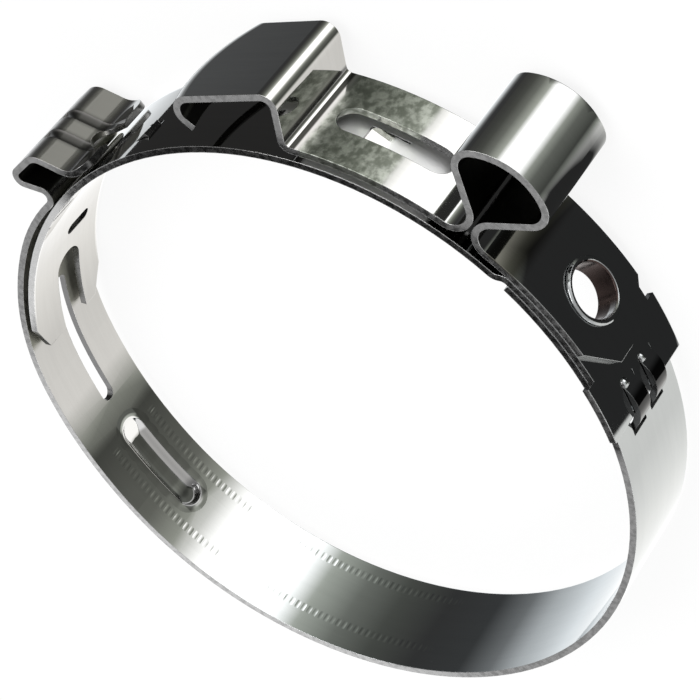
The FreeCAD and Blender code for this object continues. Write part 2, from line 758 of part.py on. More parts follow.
def add_bowed_lip(body, corner, heading):
    """Curl the box hook's lip round a bow: its section is turned about an axis normal to the plate."""
    along = polar(1, heading)
    bow = value("Sizes.box_bow_radius")
    apex = corner + along * value("Sizes.box_bow_height")
    centre = apex - along * bow
    lap = "(Sizes.box_bow_radius / 2)"
    path = Path(apex - along * value(lap), heading)
    path.straight(lap)
    path.bend("Sizes.box_lip_bend", value("Sizes.box_lip_turn"))
    path.straight("Sizes.box_lip_run")
    section = profile_sketch(body, "LipSection", "Sizes.box_bow_offset")
    strip_outline(section, path)
    across = polar(1, heading + 90)
    section.addGeometry(Part.LineSegment(centre, centre + across), True)
    lip = body.newObject("PartDesign::Revolution", "Lip")
    lip.Profile = section
    lip.ReferenceAxis = (section, ["Axis0"])
    lip.Midplane = True
    reach = "(0.55 * Sizes.strip_width + Sizes.box_bow_offset)"
    lip.setExpression("Angle", f"2 * asin({reach} / Sizes.box_bow_radius)")
    section.Visibility = False
    doc.recompute()
    for name, side in (("LipFrontTrim", 1), ("LipRearTrim", -1)):
        height = f"{side} * Sizes.strip_width"
        trim = profile_sketch(body, f"{name}Sketch", height)
        circle_at(trim, apex, "3 * Sizes.strip_width / 2")
        pocket(body, trim, name, "Sizes.strip_width", midplane=True)


def circle_at(sketch, centre, radius):
    """Circle about a point of the sketch."""
    number = sketch.addGeometry(Part.Circle(centre, Vector(0, 0, 1), value(radius)), False)
    bind(sketch, Sketcher.Constraint("Radius", number, value(radius)), radius)


def make_tension_strip():
    """Outer strip with the loop ear that is squeezed and the box hook that snaps over the ribbed hook."""
    body = new_body("tension_strip")
    path = tension_strip_path()
    profile = profile_sketch(body, "TensionProfile")
    strip_outline(profile, path)
    pad(body, profile, "Tension", "Sizes.strip_width")
    add_bowed_lip(body, path.point, path.heading)

    window = radial_sketch(body, "SlotSketch", "Sizes.slot_angle")
    slot(window, "Sizes.slot_length", "Sizes.slot_width")
    pocket(body, window, "Slot")

    bore = radial_sketch(body, "EyeletHoleSketch", "Sizes.eyelet_angle")
    circle(bore, "Sizes.eyelet_bore + Sizes.eyelet_wall + Sizes.lap_gap")
    pocket(body, bore, "EyeletHole")

    trim = radial_sketch(body, "EndTrimSketch", "Sizes.strip_end_angle")
    corner_trims(trim, "Sizes.end_trim_length", "Sizes.end_flat_width / 2", "Sizes.strip_width / 2")
    pocket(body, trim, "EndTrim")
    return body


# Whole clamp

bodies = (make_ring_band(), make_bridge_strip(), make_tension_strip())
doc.recompute()

for item in doc.Objects:
    if "Invalid" in item.State or "Error" in item.State:
        raise RuntimeError(f"{item.Name} failed: {item.State}")

os.makedirs("parts", exist_ok=True)
for body, node in zip(bodies, NODES):
    shape = body.Shape
    if shape.isNull() or not shape.isValid() or len(shape.Solids) != 1:
        raise RuntimeError(f"{node} is not one valid solid")
    shape.exportStep(f"parts/{node}.step")
    box = shape.BoundBox
    print(f"{node}: {shape.Volume:.1f} mm3, {box.XLength:.1f} x {box.YLength:.1f} x {box.ZLength:.1f} mm")
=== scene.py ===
"""Looks of the snap lock hose clamp: three strips of bright rolled spring steel, lying flat on a pale floor.

The clamp's axis is Z and the loop ear stands on +Y. Lengths are in millimetres unless they say otherwise,
and angles are in degrees from +X towards +Y.
"""

import math

import bpy
from mathutils import Matrix, Vector


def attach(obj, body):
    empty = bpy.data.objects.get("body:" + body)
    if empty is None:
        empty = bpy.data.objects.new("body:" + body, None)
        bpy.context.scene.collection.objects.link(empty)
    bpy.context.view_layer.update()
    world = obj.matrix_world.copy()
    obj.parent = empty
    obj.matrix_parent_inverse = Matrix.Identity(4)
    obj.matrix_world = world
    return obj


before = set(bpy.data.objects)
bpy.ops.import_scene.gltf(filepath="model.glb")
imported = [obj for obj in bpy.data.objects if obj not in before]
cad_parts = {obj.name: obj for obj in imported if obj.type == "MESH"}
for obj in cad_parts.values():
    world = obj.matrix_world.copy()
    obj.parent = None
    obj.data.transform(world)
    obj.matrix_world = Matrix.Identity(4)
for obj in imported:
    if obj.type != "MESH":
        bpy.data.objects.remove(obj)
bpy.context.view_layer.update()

MM = 0.001
HOSE_RADIUS = 33.25
STRIP_HALF = 6.0
FLOOR_LEVEL = -7.2


# Node graphs

class Graph:
    """Short calls for the nodes of one material or of the world."""

    def __init__(self, tree):
        self.tree = tree
        tree.nodes.clear()

    def node(self, kind, **settings):
        made = self.tree.nodes.new("ShaderNode" + kind)
        for name, setting in settings.items():
            setattr(made, name, setting)
        return made

    def feed(self, socket, source):
        if isinstance(source, bpy.types.NodeSocket):
            self.tree.links.new(source, socket)
        else:
            socket.default_value = source

    def math(self, operation, *sources):
        made = self.node("Math", operation=operation)
        for socket, source in zip(made.inputs, sources):
            self.feed(socket, source)
        return made.outputs[0]

    def product(self, first, *others):
        for other in others:
            first = self.math("MULTIPLY", first, other)
        return first

    def dot(self, first, second):
        """Dot product of two pairs."""
        return self.math("ADD", *(self.math("MULTIPLY", a, b) for a, b in zip(first, second)))

    def length(self, pair):
        return self.math("SQRT", self.dot(pair, pair))

    def apart(self, first, second):
        """How far two numbers are from each other."""
        return self.math("ABSOLUTE", self.math("SUBTRACT", first, second))

    def ramp(self, source, low, high, to_low=0.0, to_high=1.0):
        """A number that goes softly from to_low, where the source is low, to to_high."""
        made = self.node("MapRange", interpolation_type="SMOOTHSTEP")
        for socket, number in zip(made.inputs, (source, low, high, to_low, to_high)):
            self.feed(socket, number)
        return made.outputs[0]

    def combine(self, x, y, z):
        made = self.node("CombineXYZ")
        for socket, source in zip(made.inputs, (x, y, z)):
            self.feed(socket, source)
        return made.outputs[0]

    def split(self, vector):
        made = self.node("SeparateXYZ")
        self.feed(made.inputs[0], vector)
        return made.outputs

    def noise(self, vector, scale=1.0, detail=3.0, roughness=0.55):
        made = self.node("TexNoise")
        self.feed(made.inputs["Vector"], vector)
        self.feed(made.inputs["Scale"], scale)
        self.feed(made.inputs["Detail"], detail)
        self.feed(made.inputs["Roughness"], roughness)
        return made.outputs["Fac"]

    def mix(self, factor, first, second):
        """A colour that goes from first to second."""
        made = self.node("Mix", data_type="RGBA")
        self.feed(made.inputs["Factor"], factor)
        self.feed(made.inputs["A"], first)
        self.feed(made.inputs["B"], second)
        return made.outputs["Result"]

    def blend(self, factor, first, second):
        """A number that goes from first to second."""
        made = self.node("Mix", data_type="FLOAT")
        for name, source in (("Factor", factor), ("A", first), ("B", second)):
            socket = next(s for s in made.inputs if s.name == name and s.type == "VALUE")
            self.feed(socket, source)
        return made.outputs[0]


def grey(level, tint=0.0):
    """Grey as a colour. A tint takes away some of its blue."""
    return (level, level, level * (1 - tint), 1.0)


# Colours of the steel, with painted shade and painted highlights among them

ROLLED_DARK = 0.55
ROLLED_LIGHT = 0.61
ROLLED_TINT = 0.02
WARM_STEEL = (0.60, 0.585, 0.57, 1.0)
COOL_STEEL = (0.54, 0.575, 0.59, 1.0)
# The sheared walls are matt steel, painted darker still as shade.
EDGE_DARK = 0.27
EDGE_LIGHT = 0.36
END_WALL_SHADE = grey(0.2)
# Painted shade on the walls of holes and slots.
HOLE_WALL_SHADE = grey(0.1)
# Painted shade that darkens the ribbed hook's plate.
RIBBED_PLATE_SHADE = (0.34, 0.32, 0.30, 1.0)
# Painted shade in the valleys between the ribbed hook's lobes.
RIB_VALLEY_SHADE = grey(0.03)
# Painted highlight along the rim by the tongue.
TONGUE_RIM_HIGHLIGHT = grey(0.85)
# A mottled patch by the slot, painted darker as shade.
PATCH_SHADE_DARK = (0.22, 0.235, 0.20, 1.0)
PATCH_SHADE_PALE = (0.52, 0.54, 0.49, 1.0)
# Painted shade on the inside of the band where the strips lap.
LAPPED_BAND_SHADE = (0.25, 0.25, 0.215, 1.0)
# Painted shade at the foot of the ear.
EAR_FOOT_SHADE = (0.17, 0.165, 0.145, 1.0)
# Painted light on the strip seen in the slot's floor.
SLOT_FLOOR_LIGHT = grey(0.8)
# Painted shade in the eyelet's bore.
EYELET_BORE_SHADE = (0.07, 0.05, 0.046, 1.0)
# Painted highlight on the eyelet's lip.
EYELET_LIP_HIGHLIGHT = grey(0.97)
# Painted shade on the claws' sides and the trimmed end.
CUT_SHADE = grey(0.05)
# Painted shade for the insides of the ear and both hooks.
LOOP_INSIDE_SHADE = grey(0.06, 0.1)
# In the pressed channel: a painted highlight stripe, painted shade at the far end and a painted highlight at
# the start.
CHANNEL_STRIPE_HIGHLIGHT = grey(0.8)
CHANNEL_END_SHADE = grey(0.14)
CHANNEL_START_HIGHLIGHT = grey(0.95)


# Places where the steel looks different, many of them places of painted shade or painted highlights

WARM_TO_COOL = (-12.0, 14.0)
EYELET_ANGLE = math.radians(69.7)
RIBS_MIDDLE = 0.3
RIBS_APART = 1.65
CHANNEL_OFFSET = -0.6
SHEARED_FACES = (0.6, 0.9)

# A loop is the X and Y of its middle and how far its inside reaches from there.
LOOPS = ((0.0, 42.0, 6.2), (-23.3, 29.8, 6.5), (-36.6, 5.5, 3.4))
LOOP_BORDER = 0.2
LOOP_FACES = (0.0, -0.15)
LOOP_EDGES = (0.5, 0.2)

# A place is a list of limits. A limit is a measure of a Spot, its value outside and its value inside.
PLACES = {
    "end_wall": (("flatness", 0.5, 0.35), ("radius", 36.4, 36.0)),
    "inside_edges": (("from_middle", 5.7, 5.4),),
    "over_band": (("radius", 35.1, 35.3),),
    "mottled_shade_patch": (
        ("angle", 103.6, 104.8), ("angle", 118.5, 117.5),
        ("radius", 34.55, 34.65), ("radius", 36.0, 35.6),
    ),
    "slot_floor": (
        ("angle", 95.5, 96.5), ("angle", 118.5, 117.5),
        ("radius", 33.8, 33.85), ("radius", 34.15, 34.05), ("flatness", 0.6, 0.8),
    ),
    "ear_foot": (
        ("angle", 79.0, 81.5), ("angle", 87.0, 85.5),
        ("radius", 35.2, 35.3), ("radius", 37.2, 36.6),
    ),
    "lapped_band": (
        ("facing", -0.3, -0.6), ("radius", 34.0, 34.1),
        ("x", -27.0, -28.0), ("y", -19.5, -18.5),
    ),
    "tongue_rim": (
        ("from_middle", 5.7, 5.8), ("radius", 34.2, 34.1),
        ("x", -29.0, -31.0), ("y", -19.5, -18.5),
    ),
    "trimmed_end": (
        ("angle", 56.5, 57.0), ("angle", 65.0, 64.5),
        ("radius", 35.0, 35.1), ("from_middle", 5.97, 5.9),
    ),
    "claws": (("angle", 44.0, 44.5), ("angle", 58.0, 57.5)),
    "claw_flank": (("from_middle", 4.8, 4.6),),
    "claw_dive": (("radius", 34.75, 34.85), ("angle", 54.0, 52.5)),
    "eyelet_bore": (("from_eyelet", 2.9, 2.85), ("y", 0.0, 1.0)),
    "eyelet_lip": (("along_eyelet", 34.75, 34.95), ("z", -1.6, 0.2)),
    "ribbed_plate": (("x", -33.9, -34.1), ("y", 2.0, 2.2), ("y", 9.6, 9.4), ("radius", 35.2, 35.4)),
    "rib_valley_shade": (("from_valley", 1.15, 0.25),),
}
CHANNEL_PLACES = {
    "channel_stripe": (("z", -0.3, 0.1), ("z", 0.8, 0.4)),
    "channel_end": (("angle", -104.6, -102.8), ("angle", -99.6, -100.2), ("from_channel", 1.8, 1.6)),
    "channel_start": (("angle", -116.6, -117.4), ("from_channel", 1.7, 1.5)),
}


class Spot:
    """A point of the steel: where it is, in millimetres and degrees, and how its face stands."""

    def __init__(self, g):
        self.g = g
        scaled = g.node("VectorMath", operation="SCALE")
        g.feed(scaled.inputs[0], g.node("TexCoord").outputs["Object"])
        g.feed(scaled.inputs["Scale"], 1 / MM)
        self.x, self.y, self.z = g.split(scaled.outputs[0])
        self.radius = g.length((self.x, self.y))
        self.angle = g.math("DEGREES", g.math("ARCTAN2", self.y, self.x))
        self.from_middle = g.math("ABSOLUTE", self.z)
        self.from_channel = g.apart(self.z, CHANNEL_OFFSET)
        self.from_valley = g.apart(g.apart(self.z, RIBS_MIDDLE), RIBS_APART)
        outward = (math.cos(EYELET_ANGLE), math.sin(EYELET_ANGLE))
        sideways = (-outward[1], outward[0])
        self.along_eyelet = g.dot((self.x, self.y), outward)
        self.from_eyelet = g.length((g.dot((self.x, self.y), sideways), self.z))
        normal_x, normal_y, normal_z = g.split(g.node("NewGeometry").outputs["True Normal"])
        self.normal = (normal_x, normal_y)
        self.facing = g.math("DIVIDE", g.dot(self.normal, (self.x, self.y)), self.radius)
        self.flatness = g.math("ABSOLUTE", self.facing)
        self.sheared = g.ramp(g.math("ABSOLUTE", normal_z), *SHEARED_FACES)

    def within(self, limits):
        """1 in a place and 0 outside it, with soft borders."""
        return self.g.product(*[self.g.ramp(getattr(self, name), *ends) for name, *ends in limits])


def loop_inside_shade(g, spot, over_band):
    """Insides of the ear, the box hook and the ribbed hook, where the colour is painted dark as shade."""
    shaded = 0.0
    for middle_x, middle_y, reach in LOOPS:
        aside = (g.math("SUBTRACT", spot.x, middle_x), g.math("SUBTRACT", spot.y, middle_y))
        near = g.ramp(g.length(aside), reach, reach - LOOP_BORDER)
        inward = g.ramp(g.dot(spot.normal, aside), *LOOP_FACES)
        shaded = g.math("MAXIMUM", shaded, g.product(inward, near, over_band))
    return g.product(shaded, g.ramp(spot.sheared, *LOOP_EDGES))


def all_covers(g, spot, places):
    """How much a spot takes on of the look of each place, from 0 to 1."""
    covers = {name: spot.within(limits) for name, limits in places.items()}
    covers["wall"] = g.math("MAXIMUM", spot.sheared, covers["end_wall"])
    covers["hole_wall_shade"] = g.product(spot.sheared, covers["inside_edges"])
    covers["loop_inside"] = loop_inside_shade(g, spot, covers["over_band"])
    covers["eyelet_lip"] = g.product(covers["eyelet_bore"], covers["eyelet_lip"])
    covers["rib_valley_shade"] = g.product(covers["ribbed_plate"], covers["rib_valley_shade"])
    flank = g.product(spot.sheared, covers["claw_flank"])
    claw_sides = g.product(covers["claws"], g.math("MAXIMUM", flank, covers["claw_dive"]))
    trimmed = g.product(covers["wall"], covers["trimmed_end"])
    covers["cut_shade"] = g.math("MAXIMUM", claw_sides, trimmed)
    return covers


# Steel

# A noise is how dense it is round the band and across it, its scale and its detail.
FINE_LINES = (0.12, 9.0, 1.0, 4.0)
BROAD_LINES = (0.12, 1.1, 1.0, 2.0)
MOTTLING = (1.0, 0.7, 1.3, 3.0)
TORN_METAL = (1.6, 1.0, 1.0, 2.0)
BROAD_SHARE = 0.65
MOTTLE_SHARE = 0.5
SHEARED_RELIEF = 0.5
NOISE_SPAN = (0.3, 0.7)
EDGE_SPAN = (0.35, 0.6)
PATCH_SHADE_SPAN = (0.35, 0.65)
WARM_SHARE = 0.5
COOL_SHARE = 0.6
# The pressed channel's steel is painted darker all over, as shade.
PRESSED_SHADE_SHARE = 0.66

SATIN = (0.03, 0.06)
TORN = (0.2, 0.32)
FINISHES = (
    ("mottled_shade_patch", 0.26),
    ("slot_floor", 0.5),
    ("loop_inside", 0.3),
    ("ribbed_plate", 0.32),
    ("lapped_band", 0.4),
    ("eyelet_lip", 0.3),
)
RIM_ROUND = 0.1
RIM_SAMPLES = 6
RELIEF_STRENGTH = 0.1
RELIEF_DEPTH = 0.02


def spread(g, spot, along, across, scale, detail):
    """Noise that runs at one density round the band and at another across it."""
    x, y = [g.math("MULTIPLY", side, along) for side in (spot.x, spot.y)]
    return g.noise(g.combine(x, y, g.math("MULTIPLY", spot.z, across)), scale, detail)


def metal(g, colour, rough, relief):
    """Metal with rounded rims and a fine relief."""
    shader = g.node("BsdfPrincipled")
    g.feed(shader.inputs["Base Color"], colour)
    g.feed(shader.inputs["Roughness"], rough)
    g.feed(shader.inputs["Metallic"], 1.0)
    rims = g.node("Bevel", samples=RIM_SAMPLES)
    g.feed(rims.inputs["Radius"], RIM_ROUND * MM)
    bump = g.node("Bump")
    g.feed(bump.inputs["Strength"], RELIEF_STRENGTH)
    g.feed(bump.inputs["Distance"], RELIEF_DEPTH * MM)
    g.feed(bump.inputs["Height"], relief)
    g.feed(bump.inputs["Normal"], rims.outputs[0])
    g.feed(shader.inputs["Normal"], bump.outputs[0])
    g.feed(g.node("OutputMaterial").inputs["Surface"], shader.outputs[0])


def rolled_colour(g, spot, relief, share):
    """Colour of plain rolled steel, a little warm on the clamp's left and a little cool on its right."""
    dark, light = [grey(level * share, ROLLED_TINT) for level in (ROLLED_DARK, ROLLED_LIGHT)]
    colour = g.mix(g.ramp(relief, *NOISE_SPAN), dark, light)
    warm = g.mix(WARM_SHARE, colour, WARM_STEEL)
    cool = g.mix(COOL_SHARE, colour, COOL_STEEL)
    return g.mix(g.ramp(spot.x, *WARM_TO_COOL), warm, cool)


def wall_colour(g, spot, torn, share):
    """Colour of the sheared walls, matt steel painted darker as shade, and darker on the ends than on the
    strip's edges.
    """
    edges = g.mix(g.ramp(torn, *EDGE_SPAN), grey(EDGE_DARK * share), grey(EDGE_LIGHT * share))
    return g.mix(spot.sheared, END_WALL_SHADE, edges)


def all_coats(wall, patch_shade, pressed):
    """Coats over the rolled steel, each its place, how dense it is there, and its colour. Most coats paint
    shade or highlights into the colour.
    """
    # The steep sides of the pressed channel aren't the walls of a hole.
    hole_wall_shade = 0.0 if pressed else 0.8
    coats = [
        ("ribbed_plate", 0.6, RIBBED_PLATE_SHADE),
        ("rib_valley_shade", 0.75, RIB_VALLEY_SHADE),
        ("wall", 1.0, wall),
        ("hole_wall_shade", hole_wall_shade, HOLE_WALL_SHADE),
        ("tongue_rim", 0.8, TONGUE_RIM_HIGHLIGHT),
        ("mottled_shade_patch", 1.0, patch_shade),
        ("lapped_band", 1.0, LAPPED_BAND_SHADE),
        ("ear_foot", 1.0, EAR_FOOT_SHADE),
        ("slot_floor", 1.0, SLOT_FLOOR_LIGHT),
        ("eyelet_bore", 1.0, EYELET_BORE_SHADE),
        ("eyelet_lip", 1.0, EYELET_LIP_HIGHLIGHT),
        ("cut_shade", 1.0, CUT_SHADE),
        ("loop_inside", 1.0, LOOP_INSIDE_SHADE),
    ]
    if pressed:
        coats.append(("channel_stripe", 0.6, CHANNEL_STRIPE_HIGHLIGHT))
        coats.append(("channel_end", 0.8, CHANNEL_END_SHADE))
        coats.append(("channel_start", 1.0, CHANNEL_START_HIGHLIGHT))
    return coats


def steel(name, share=1.0, pressed=False):
    """Bright rolled spring steel, matt where it was sheared and rougher in a few places, with painted shade
    and painted highlights in its colour.
    """
    material = bpy.data.materials.new(name)
    material.use_nodes = True
    g = Graph(material.node_tree)
    spot = Spot(g)
    covers = all_covers(g, spot, {**PLACES, **CHANNEL_PLACES} if pressed else PLACES)
    lines = g.blend(BROAD_SHARE, spread(g, spot, *FINE_LINES), spread(g, spot, *BROAD_LINES))
    mottle = spread(g, spot, *MOTTLING)
    torn = spread(g, spot, *TORN_METAL)
    relief = g.blend(spot.sheared, lines, SHEARED_RELIEF)

    # The mottled patch's colour is painted shade.
    patch_shade = g.mix(g.ramp(mottle, *PATCH_SHADE_SPAN), PATCH_SHADE_DARK, PATCH_SHADE_PALE)
    colour = rolled_colour(g, spot, relief, share)
    for place, density, coat in all_coats(wall_colour(g, spot, torn, share), patch_shade, pressed):
        colour = g.mix(g.product(covers[place], density), colour, coat)

    satin = g.ramp(g.blend(MOTTLE_SHARE, lines, mottle), *NOISE_SPAN, *SATIN)
    rough = g.blend(covers["wall"], satin, g.ramp(torn, *NOISE_SPAN, *TORN))
    for place, finish in FINISHES:
        rough = g.blend(covers[place], rough, finish)
    metal(g, colour, rough, relief)
    return material


strip_steel = steel("spring_steel_bright")
pressed_steel = steel("spring_steel_pressed_shaded", PRESSED_SHADE_SHARE, pressed=True)

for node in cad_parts.values():
    node.data.materials.clear()
    node.data.materials.append(strip_steel)


# Fine relief that the solids leave out

def dress(piece, name, material=strip_steel):
    """Name a smooth piece of steel and put it on the clamp's one body."""
    piece.name = name
    piece.data.shade_smooth()
    piece.data.materials.clear()
    piece.data.materials.append(material)
    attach(piece, "root")


def lay_sheet(name, corners, faces, material=strip_steel):
    """Lay a thin sheet of steel over the band."""
    mesh = bpy.data.meshes.new(name)
    mesh.from_pydata(corners, [], faces)
    sheet = bpy.data.objects.new(name, mesh)
    bpy.context.scene.collection.objects.link(sheet)
    dress(sheet, name, material)


def ring_point(radius, turn, level):
    """Point in metres, at a radius, an angle in radians and a height along Z."""
    return (radius * math.cos(turn) * MM, radius * math.sin(turn) * MM, level * MM)


def grid_faces(first, columns, rows):
    """Faces between the points of a grid whose first point has this number."""
    corners = [first + j * (columns + 1) + i for j in range(rows) for i in range(columns)]
    return [(a, a + columns + 1, a + columns + 2, a + 1) for a in corners]


def band_radius(turn, level=5.0):
    """How far the inside of the ring band is from the clamp's axis, at an angle in radians."""
    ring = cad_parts["ring_band"]
    axis_point = ring.matrix_world.inverted() @ Vector((0, 0, level * MM))
    found, point, _, _ = ring.ray_cast(axis_point, Vector((math.cos(turn), math.sin(turn), 0)))
    return math.hypot(point.x, point.y) / MM if found else HOSE_RADIUS


TICK_STEP = 1.22
TICK_FIRST = 241.6
TICK_LAST = 316.0
TICK_HEIGHT = 0.014
TICK_SINK = 0.001
TICK_WIDTH = 0.5
TICK_LENGTH = 1.1
TICK_LEVELS = (3.0, -4.2)
TICK_GRID = (6, 4)


def tick_points(angle, middle):
    """Points of one shallow ridge, at an angle and round a height along Z."""
    columns, rows = TICK_GRID
    points = []
    for j in range(rows + 1):
        t = 2 * j / rows - 1
        for i in range(columns + 1):
            s = 2 * i / columns - 1
            height = TICK_HEIGHT * (1 - s * s) * (1 - t ** 4) - TICK_SINK
            turn = math.radians(angle) + s * TICK_WIDTH / 2 / HOSE_RADIUS
            points.append(ring_point(band_radius(turn) - height, turn, middle + t * TICK_LENGTH / 2))
    return points


def tick_rows():
    """Two rows of shallow ridges, rolled into the inside of the band."""
    corners = []
    faces = []
    for number in range(math.ceil((TICK_LAST - TICK_FIRST) / TICK_STEP)):
        for middle in TICK_LEVELS:
            faces += grid_faces(len(corners), *TICK_GRID)
            corners += tick_points(TICK_FIRST + number * TICK_STEP, middle)
    lay_sheet("tick_rows", corners, faces)


# A dome is placed by its angle and its height along Z.
DOMES = ((55.3, -1.3), (55.3, 2.5))
DOME_RADIUS = 0.6
DOME_SINK = 0.2
BEYOND_STRIPS = 45.0


def claw_domes():
    """Small bright domes where the claws were punched up."""
    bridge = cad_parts["bridge_strip"]
    into_bridge = bridge.matrix_world.inverted()
    for number, (angle, level) in enumerate(DOMES):
        turn = math.radians(angle)
        outward = Vector((math.cos(turn), math.sin(turn), 0))
        start = Vector(ring_point(BEYOND_STRIPS, turn, level))
        found, point, _, _ = bridge.ray_cast(into_bridge @ start, -outward)
        if not found:
            continue
        bpy.ops.mesh.primitive_uv_sphere_add(segments=20, ring_count=12, radius=DOME_RADIUS * MM)
        dome = bpy.context.object
        dome.data.transform(Matrix.Translation(bridge.matrix_world @ point - outward * DOME_SINK * MM))
        dress(dome, f"claw_dome_{number}")


CHANNEL_ANGLE = 249.5
CHANNEL_LENGTH = 12.2
CHANNEL_WIDTH = 3.6
CHANNEL_DEPTH = 0.7
CHANNEL_SLOPE = 1.1
SHEET_LIFT = 0.004
CHANNEL_GRID = (150, 56)
FLOOR_CROWN = 0.05
START_RAMP_LENGTH = 2.6
FAR_END_LENGTH = 0.6
FAR_END_STEEPER = 0.65
LIP_WIDTH = 0.9
LIP_HEIGHT = 0.03
LIP_BORDER = 0.05
BORDER_SINK = 0.01


def channel_depth(u, v):
    """How far outward the sheet lies from the band's inside, at u along the channel and v across it."""
    half = CHANNEL_WIDTH / 2
    straight = (CHANNEL_LENGTH - CHANNEL_WIDTH) / 2
    inside = half - math.hypot(max(abs(u) - straight, 0.0), v)
    if inside < 0:
        part = min(1.0, -inside / LIP_WIDTH)
        raised = LIP_HEIGHT * math.sin(math.pi * part) ** 2 + SHEET_LIFT
        return BORDER_SINK * max(0.0, part - 1 + LIP_BORDER) / LIP_BORDER - raised * (1 - part)
    far_end = max(0.0, min(1.0, (u - straight) / FAR_END_LENGTH))
    part = min(1.0, inside / (CHANNEL_SLOPE - FAR_END_STEEPER * far_end))
    depth = CHANNEL_DEPTH * part * part * (3 - 2 * part) - SHEET_LIFT
    depth -= FLOOR_CROWN * max(0.0, inside - CHANNEL_SLOPE)
    return min(depth, CHANNEL_DEPTH * (u + straight + half) / START_RAMP_LENGTH)


def pressed_channel():
    """Soft inner face of the pressed channel: round shoulders, sloping walls, a faintly crowned floor."""
    columns, rows = CHANNEL_GRID
    reach = CHANNEL_LENGTH / 2 + LIP_WIDTH
    along = [(2 * i / columns - 1) * reach for i in range(columns + 1)]
    turns = [math.radians(CHANNEL_ANGLE) + u / HOSE_RADIUS for u in along]
    bases = [band_radius(turn) for turn in turns]
    corners = []
    for j in range(rows + 1):
        v = (2 * j / rows - 1) * (CHANNEL_WIDTH / 2 + LIP_WIDTH)
        for u, turn, base in zip(along, turns, bases):
            corners.append(ring_point(base + channel_depth(u, v), turn, CHANNEL_OFFSET + v))
    lay_sheet("pressed_channel", corners, grid_faces(0, columns, rows), pressed_steel)


tick_rows()
claw_domes()
pressed_channel()


# Floor and studio

# What stands round the clamp, and only polished metal shows: pale walls, dark ones and a bright strip.
# Each stop is an angle, the shade that the steel takes from there, and its tint.
WARM = (1.01, 1.0, 0.97)
OLIVE = (1.0, 1.05, 0.94)
COOL = (0.96, 1.0, 1.03)
PLAIN = (1.0, 1.0, 1.0)
ROOM_SHADES = (
    (-90, 0.90, PLAIN),
    (-45, 0.84, WARM),
    (-15, 0.76, WARM),
    (20, 0.80, WARM),
    (30, 0.50, OLIVE),
    (36, 0.24, OLIVE),
    (60, 0.36, OLIVE),
    (73, 0.55, OLIVE),
    (86, 1.10, PLAIN),
    (115, 1.10, PLAIN),
    (124, 0.62, OLIVE),
    (138, 0.40, OLIVE),
    (152, 0.27, OLIVE),
    (170, 0.19, PLAIN),
    (190, 0.21, COOL),
    (204, 0.41, COOL),
    (216, 0.64, COOL),
    (240, 0.83, COOL),
    (270, 0.90, PLAIN),
)
ROOM_START = ROOM_SHADES[0][0]
STEEL_LEVEL = 0.58
CEILING_SHADE = grey(0.34)
CEILING_SOFT = (0.0, 0.35)
LIGHT_ON_MATT = 0.55

FLOOR_SIZE = 3000.0
FLOOR_DROP = 0.02
FLOOR_SHADE = 0.9
FLOOR_GLOW = 1.03
FLOOR_GLOW_SHARE = 0.85


def floor_piece():
    """Pale floor that the camera sees as white, with the clamp's shadow on it."""
    level = (FLOOR_LEVEL - FLOOR_DROP) * MM
    bpy.ops.mesh.primitive_plane_add(size=FLOOR_SIZE * MM, location=(0, 0, level))
    floor = bpy.context.object
    floor.name = "floor"
    material = bpy.data.materials.new("pale_floor")
    material.use_nodes = True
    g = Graph(material.node_tree)
    matt = g.node("BsdfDiffuse")
    g.feed(matt.inputs["Color"], grey(FLOOR_SHADE))
    glow = g.node("Emission")
    g.feed(glow.inputs["Color"], grey(1.0))
    g.feed(glow.inputs["Strength"], FLOOR_GLOW)
    both = g.node("MixShader")
    g.feed(both.inputs[0], g.product(g.node("LightPath").outputs["Is Camera Ray"], FLOOR_GLOW_SHARE))
    g.feed(both.inputs[1], matt.outputs[0])
    g.feed(both.inputs[2], glow.outputs[0])
    g.feed(g.node("OutputMaterial").inputs["Surface"], both.outputs[0])
    floor.data.materials.append(material)
    floor.visible_glossy = False


def linear(shade):
    """Light level that a display shows as this shade."""
    return shade / 12.92 if shade <= 0.04045 else ((shade + 0.055) / 1.055) ** 2.4


def studio():
    """World that is white behind the clamp, and a room of pale and dark walls in its reflections."""
    world = bpy.data.worlds.new("studio")
    bpy.context.scene.world = world
    world.use_nodes = True
    g = Graph(world.node_tree)
    x, y, z = g.split(g.node("TexCoord").outputs["Generated"])
    angle = g.math("DEGREES", g.math("ARCTAN2", y, x))
    turned = g.math("WRAP", g.math("SUBTRACT", angle, ROOM_START), 360.0, 0.0)
    room = g.node("ValToRGB")
    g.feed(room.inputs[0], g.math("DIVIDE", turned, 360.0))
    stops = room.color_ramp.elements
    while len(stops) < len(ROOM_SHADES):
        stops.new(0.5)
    brightest = max(linear(shade) for _, shade, _ in ROOM_SHADES) / STEEL_LEVEL
    for stop, (degrees, shade, tint) in zip(stops, ROOM_SHADES):
        stop.position = (degrees - ROOM_START) / 360
        level = linear(shade) / STEEL_LEVEL / brightest
        stop.color = (*(level * part for part in tint), 1.0)
    walls = g.node("VectorMath", operation="SCALE")
    g.feed(walls.inputs[0], g.mix(g.ramp(z, *CEILING_SOFT), room.outputs[0], CEILING_SHADE))
    g.feed(walls.inputs["Scale"], brightest)
    rays = g.node("LightPath").outputs
    background = g.node("Background")
    g.feed(background.inputs["Color"], g.mix(rays["Is Glossy Ray"], grey(1.0), walls.outputs[0]))
    plain = g.math("MAXIMUM", rays["Is Camera Ray"], rays["Is Glossy Ray"])
    plain = g.math("MAXIMUM", plain, rays["Is Transmission Ray"])
    g.feed(background.inputs["Strength"], g.blend(plain, LIGHT_ON_MATT, 1.0))
    g.feed(g.node("OutputWorld").inputs["Surface"], background.outputs[0])


